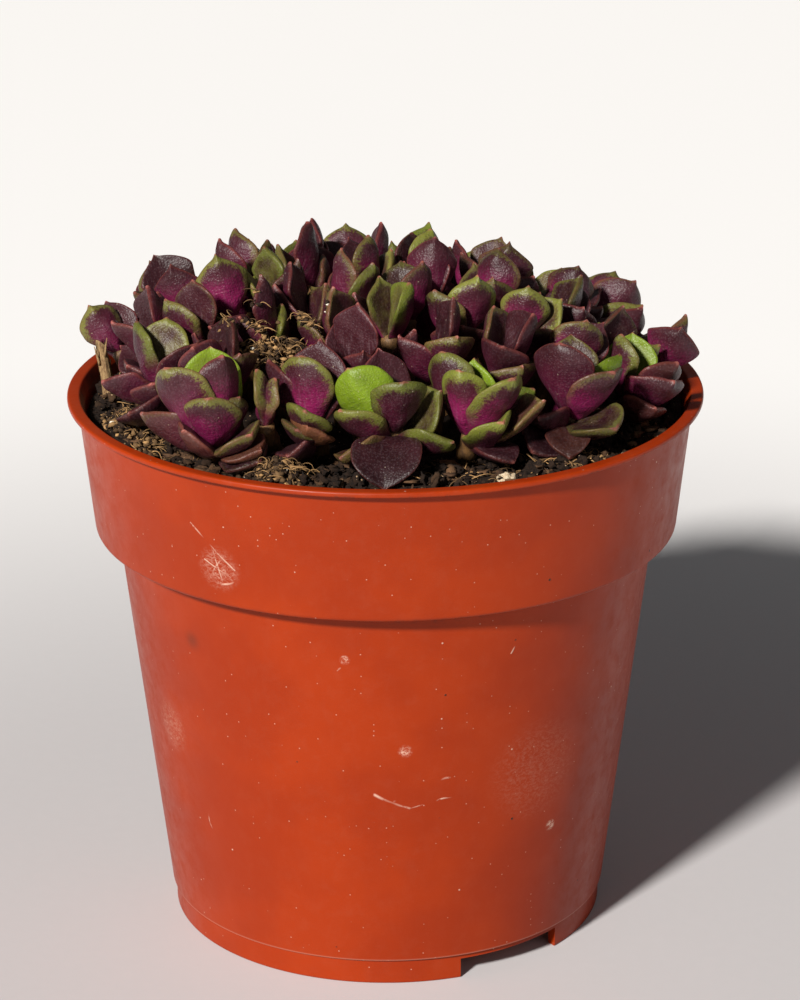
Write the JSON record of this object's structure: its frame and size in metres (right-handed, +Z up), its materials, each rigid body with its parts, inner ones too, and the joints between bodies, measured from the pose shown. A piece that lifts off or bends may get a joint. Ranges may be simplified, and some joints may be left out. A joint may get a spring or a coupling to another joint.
{
  "type": "potted anacampseros",
  "caption": "Low mat-forming succulent with thick wedge-shaped maroon and green leaves in dense short shoots, in a round tapered plastic nursery pot with a collar.",
  "frame": {"origin": "centre of the pot's foot, on the surface it stands on", "axes": "+Z up; -Y is the front, the side shown in the picture; +X to the right seen from the front"},
  "size_m": [0.085, 0.085, 0.0922],
  "materials": {
    "pot": "semi-gloss orange terracotta-coloured plastic, dusty, with fine scratches and scuffs",
    "soil": "dark crumbly peat with bark fibres and pale grit",
    "leaf": "fleshy leaf skin, maroon to magenta below and olive green above, finely wrinkled with a soft sheen",
    "dry_stem": "dead, dry, fibrous stalk",
    "perlite": "pale, rough, porous grit"
  },
  "bodies": {
    "root": {"pot": "pot", "shoot_b": "leaf", "shoot_a": "leaf", "shoot_d": "leaf", "shoot_c": "leaf", "shoot_e": "leaf", "shoot_f": "leaf", "shoot_g": "leaf", "shoot_i": "leaf", "shoot_1": "leaf", "shoot_2": "leaf", "shoot_3": "leaf", "shoot_4": "leaf", "shoot_5": "leaf", "shoot_6": "leaf", "shoot_7": "leaf", "shoot_8": "leaf", "shoot_9": "leaf", "shoot_10": "leaf", "shoot_11": "leaf", "shoot_12": "leaf", "shoot_13": "leaf", "shoot_14": "leaf", "shoot_15": "leaf", "shoot_16": "leaf", "shoot_17": "leaf", "shoot_18": "leaf", "shoot_19": "leaf", "shoot_20": "leaf", "shoot_22": "leaf", "shoot_23": "leaf", "shoot_25": "leaf", "shoot_26": "leaf", "shoot_27": "leaf", "shoot_28": "leaf", "shoot_30": "leaf", "shoot_31": "leaf", "shoot_33": "leaf", "shoot_34": "leaf", "shoot_35": "leaf", "shoot_36": "leaf", "shoot_38": "leaf", "shoot_39": "leaf", "shoot_41": "leaf", "shoot_43": "leaf", "shoot_44": "leaf", "shoot_46": "leaf", "shoot_49": "leaf", "shoot_51": "leaf", "shoot_52": "leaf", "shoot_54": "leaf", "shoot_56": "leaf", "dry_stalk": "dry_stem", "perlite_a": "perlite", "perlite_b": "perlite", "perlite_c": "perlite", "soil": "soil"}
  },
  "joints": []
}
